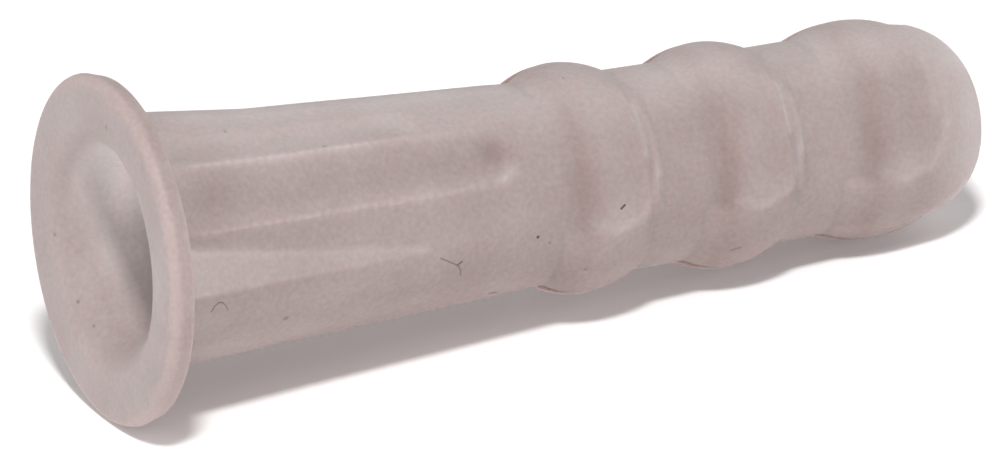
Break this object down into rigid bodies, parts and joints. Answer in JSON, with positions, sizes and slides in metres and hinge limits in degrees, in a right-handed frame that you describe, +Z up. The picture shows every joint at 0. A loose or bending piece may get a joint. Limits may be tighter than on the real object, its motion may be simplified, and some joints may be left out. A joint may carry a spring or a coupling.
{
  "type": "wall anchor",
  "caption": "Collared plastic wall plug with a funnel mouth, a fluted tapering neck and two ringed legs that spread when a screw is driven in.",
  "frame": {"origin": "on the plug's axis at the underside of the collar, where the face of the wall is", "axes": "+Y along the axis into the wall, +Z up; the slot between the legs leans 23.5 degrees from upright"},
  "size_m": [0.0094, 0.0254, 0.0094],
  "materials": {
    "plug_plastic": "milky, faintly pink natural polyethylene with a soft satin moulded skin"
  },
  "bodies": {
    "root": {"collar_and_neck": "plug_plastic"},
    "front_leg": {"expansion_leg_front": "plug_plastic"},
    "back_leg": {"expansion_leg_back": "plug_plastic"}
  },
  "joints": [
    {"name": "front_leg_spread", "type": "hinge", "parent": "root", "child": "front_leg", "pos_m": [0.002, 0.0115, 0.00087], "axis": [0.3987, 0, -0.9171], "range_deg": [-0.8, 6], "stiffness_Nm_per_rad": 0.5},
    {"name": "back_leg_spread", "type": "hinge", "parent": "root", "child": "back_leg", "pos_m": [-0.002, 0.0115, -0.00087], "axis": [-0.3987, 0, 0.9171], "range_deg": [-0.8, 6]}
  ],
  "couplings": [
    {"joint": "back_leg_spread", "follows": "front_leg_spread", "ratio": 1}
  ]
}
